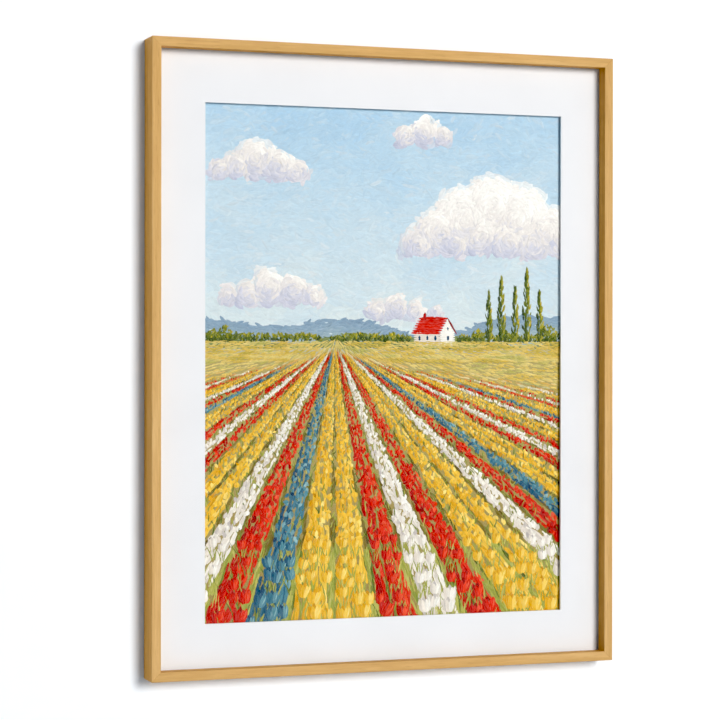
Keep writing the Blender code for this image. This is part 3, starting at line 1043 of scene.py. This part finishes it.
def paint_blades(art, x, z, size, shade):
    """Two long leaves between the nearest flowers, no darker than this level."""
    for _ in range(2):
        leaf_x = x + art.random.normal(0, size * 0.5)
        angle = pi / 2 + art.random.normal(0, 0.25)
        length = size * art.random.uniform(1.2, 2.0)
        colour = tone(LEAF, art.random.uniform(shade, 1))
        bend = art.random.normal(0, 0.4)
        art.stroke(leaf_x, z - size * 0.5, angle, length, size * 0.2, colour, BLADE_LINE, bend)


def paint_front(art):
    """The nearest flowers, from the back ones to those at the lower edge."""
    for drop, size in FRONT_RANKS:
        for x in art.random.permutation(np.arange(PAINTED_LEFT + 2, PAINTED_RIGHT, size * 1.02)):
            spot_x = x + art.random.normal(0, size * 0.22)
            spot_z = HORIZON - drop + art.random.normal(0, size * 0.28)
            tones, across = row_at(spot_x, spot_z)
            paint_blades(art, spot_x, spot_z, size, leaf_shade(tones))
            if 0.08 < across < PATH_START:
                own_size = size * art.random.uniform(0.85, 1.1)
                paint_tulip(art, spot_x, spot_z, own_size, tones, art.random.normal(0, 0.1))


def picture():
    """A generic landscape with rows of flowers, in pieces that keep each mesh of moderate size."""
    art = Painting()
    material = thick_paint()
    paint_sky(art)
    art.piece("picture_sky", material)
    paint_clouds(art)
    art.piece("picture_clouds", material)
    paint_hills(art)
    paint_trees(art)
    paint_farmhouse(art)
    art.piece("picture_distance", material)
    paint_rows(art)
    art.piece("picture_rows", material)
    paint_flowers(art, 22, 110)
    art.piece("picture_far_flowers", material)
    paint_flowers(art, 110, 232)
    art.piece("picture_near_flowers", material)
    paint_front(art)
    art.piece("picture_front_flowers", material)


def even_glow(n, shaded, near_share):
    """The shade, and to the camera a share of the backdrop: this one near the frame, all far off."""
    away = n.add("ShaderNodeVectorMath", operation="LENGTH", Vector=n.coordinates()).outputs["Value"]
    share = n.ranged(away, FADE_NEAR, FADE_FAR, near_share, 1.0)
    seen = n.maths("MULTIPLY", n.add("ShaderNodeLightPath").outputs["Is Camera Ray"], share)
    return n.mixed_shader(seen, shaded, n.add("ShaderNodeEmission", Color=BACKDROP_COLOUR).outputs[0])


def wall_material():
    """White wall that is seen from its front only."""
    n = Nodes("wall_paint")
    shaded = even_glow(n, n.add("ShaderNodeBsdfDiffuse", Color=WALL_COLOUR).outputs[0], 0.0)
    behind = n.add("ShaderNodeNewGeometry").outputs["Backfacing"]
    return n.surface(n.mixed_shader(behind, shaded, n.add("ShaderNodeBsdfTransparent").outputs[0]))


def floor_material():
    """Floor that looks pale and even, and lights the frame no more than its own darker shade does."""
    n = Nodes("floor_paint")
    shaded = n.add("ShaderNodeBsdfDiffuse", Color=FLOOR_COLOUR).outputs[0]
    return n.surface(even_glow(n, shaded, FLOOR_GLOW))


def stage_mesh(name, points, faces, material):
    mesh = bpy.data.meshes.new(name)
    mesh.from_pydata(points, [], faces)
    mesh.materials.append(material)
    obj = add_object(name, mesh)


def rectangle(low, high, level, upright):
    """Corners of a rectangle, upright at a depth or level at a height."""
    corners = ((low[0], low[1]), (high[0], low[1]), (high[0], high[1]), (low[0], high[1]))
    return [(a, level, b) if upright else (a, b, level) for a, b in corners]


def wall_with_hole():
    """The wall, open behind the frame so that the frame's back can be lit and seen."""
    hole_low = (OUTER_LOW.x + WALL_HOLE_INSET, OUTER_LOW.z + WALL_HOLE_INSET)
    hole_high = (OUTER_HIGH.x - WALL_HOLE_INSET, OUTER_HIGH.z - WALL_HOLE_INSET)
    points = rectangle((-STAGE_REACH, -STAGE_REACH), (STAGE_REACH, STAGE_REACH), WALL_Y, True)
    points += rectangle(hole_low, hole_high, WALL_Y, True)
    sides = [(i, (i + 1) % 4, (i + 1) % 4 + 4, i + 4) for i in range(4)]
    stage_mesh("studio_wall", points, sides, wall_material())


def level_floor():
    points = rectangle((-STAGE_REACH, -STAGE_REACH), (STAGE_REACH, STAGE_REACH), FLOOR_Z, False)
    stage_mesh("studio_floor", points, [(0, 1, 2, 3)], floor_material())


def soft_light(name, direction, distance, size, power, colour, in_gloss=False):
    """A round soft light that shines on the middle of the frame."""
    light = bpy.data.lights.new(name, "AREA")
    light.shape = "DISK"
    light.size = size
    light.energy = power
    light.color = colour
    obj = add_object(name, light)
    away = direction.normalized()
    obj.location = CENTRE + distance * away
    obj.rotation_mode = "QUATERNION"
    obj.rotation_quaternion = (-away).to_track_quat("-Z", "Y")
    obj.visible_glossy = in_gloss
    obj.visible_camera = False


def surroundings():
    """Soft light from all round, and a pale backdrop where nothing else is seen."""
    world = bpy.data.worlds.new("studio")
    world.use_nodes = True
    tree = world.node_tree
    light = tree.nodes["Background"]
    light.inputs["Color"].default_value = (*WORLD_COLOUR, 1.0)
    light.inputs["Strength"].default_value = WORLD_STRENGTH
    backdrop = tree.nodes.new("ShaderNodeBackground")
    backdrop.inputs["Color"].default_value = (*BACKDROP_COLOUR, 1.0)
    seen = tree.nodes.new("ShaderNodeMixShader")
    tree.links.new(tree.nodes.new("ShaderNodeLightPath").outputs["Is Camera Ray"], seen.inputs[0])
    tree.links.new(light.outputs[0], seen.inputs[1])
    tree.links.new(backdrop.outputs[0], seen.inputs[2])
    tree.links.new(seen.outputs[0], tree.nodes["World Output"].inputs["Surface"])
    bpy.context.scene.world = world


def tone_curve():
    view = bpy.context.scene.view_settings
    view.view_transform = "Standard"
    view.use_curve_mapping = True
    view.curve_mapping.black_level = (BLACK_LEVEL,) * 3
    view.curve_mapping.update()


def studio():
    """A white wall, a pale floor, soft lights and pale surroundings."""
    wall_with_hole()
    level_floor()
    side, rise = KEY_SIDE, KEY_RISE
    key_direction = Vector((sin(side) * cos(rise), -cos(side) * cos(rise), sin(rise)))
    soft_light("key", key_direction, KEY_DISTANCE, KEY_SIZE, KEY_POWER, KEY_COLOUR)
    soft_light("back_fill", BACK_PLACE, BACK_PLACE.length, BACK_SIZE, BACK_POWER, BACK_COLOUR, True)
    surroundings()
    tone_curve()


def camera():
    data = bpy.data.cameras.new("camera")
    data.sensor_width = CAMERA_SENSOR
    data.lens = CAMERA_LENS
    obj = add_object("camera", data)
    obj.location = Vector((CENTRE.x, FRONT_Y, CENTRE.z)) + CAMERA_PLACE * FRAME_HEIGHT
    turn = Euler((pi / 2 + CAMERA_PITCH, 0, -CAMERA_YAW)).to_matrix()
    obj.rotation_mode = "QUATERNION"
    obj.rotation_quaternion = (turn @ Matrix.Rotation(CAMERA_ROLL, 3, "Z")).to_quaternion()
    bpy.context.scene.camera = obj


camera()
dress_nodes()
glue_lines()
picture()
studio()
